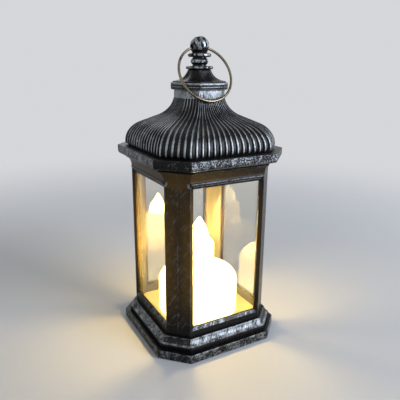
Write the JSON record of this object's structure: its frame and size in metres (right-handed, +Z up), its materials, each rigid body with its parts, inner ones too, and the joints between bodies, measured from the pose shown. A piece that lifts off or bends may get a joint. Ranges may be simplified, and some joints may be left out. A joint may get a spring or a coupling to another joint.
{
  "type": "lantern table lamp",
  "caption": "Battery-lit candle lantern with an octagonal frame, clear windows, a ribbed ogee roof, a turned finial and a swinging hanging ring.",
  "frame": {"origin": "bottom centre of the plinth, on the table", "axes": "+Z up through the finial, -Y out of the front window, +X out of the right window"},
  "size_m": [0.124, 0.124, 0.2681],
  "materials": {
    "painted_frame": "black moulded plastic, dry-brushed with silver paint",
    "painted_roof": "black moulded plastic, ribs and edges brushed with silver paint",
    "clear_pane": "clear polished sheet",
    "antique_brass": "antique brass plating, rubbed bright",
    "plated_steel": "bright zinc plating",
    "dark_deck": "plain black moulded plastic",
    "ivory_candle": "ivory wax-look plastic, lit from inside",
    "flame_diffuser": "translucent milky plastic, lit from inside",
    "led_lens": "clear warm resin",
    "circuit_board": "green solder mask",
    "lead_insulation": "red and black wire insulation",
    "base_plastic": "plain black moulded plastic, fine grain",
    "cell_can": "plain printed sleeve over a steel can",
    "switch_body": "pressed steel case",
    "switch_knob": "white moulded plastic"
  },
  "bodies": {
    "lantern": {"side_panel_front": "painted_frame", "side_panel_right": "painted_frame", "side_panel_back": "painted_frame", "side_panel_left": "painted_frame", "window_pane_front": "clear_pane", "window_pane_right": "clear_pane", "window_pane_back": "clear_pane", "window_pane_left": "clear_pane", "roof_shell": "painted_roof", "collar_plate": "painted_roof", "finial": "painted_roof", "finial_screw": "plated_steel", "inner_deck": "dark_deck", "candle_shell": "ivory_candle", "flame_cup": "ivory_candle", "flame_lens": "flame_diffuser", "led": "led_lens", "led_board": "circuit_board", "led_leads": "lead_insulation", "base_plate": "base_plastic", "base_screws": "plated_steel", "battery_tray": "base_plastic", "battery_cells": "cell_can", "contact_springs": "plated_steel", "contact_plates": "plated_steel", "switch_housing": "switch_body"},
    "ring": {"hanging_ring": "antique_brass"},
    "door": {"battery_door": "base_plastic"},
    "switch_knob": {"switch_slider": "switch_knob"}
  },
  "joints": [
    {"name": "ring_swing", "type": "hinge", "parent": "lantern", "child": "ring", "pos_m": [0, 0, 0.2587], "axis": [-1, 0, 0], "range_deg": [0, 305.6]},
    {"name": "door_slide", "type": "slide", "parent": "lantern", "child": "door", "axis": [0, 1, 0], "range_m": [0, 0.0055]},
    {"name": "switch_travel", "type": "slide", "parent": "lantern", "child": "switch_knob", "axis": [0, -1, 0], "range_m": [0, 0.004]}
  ]
}
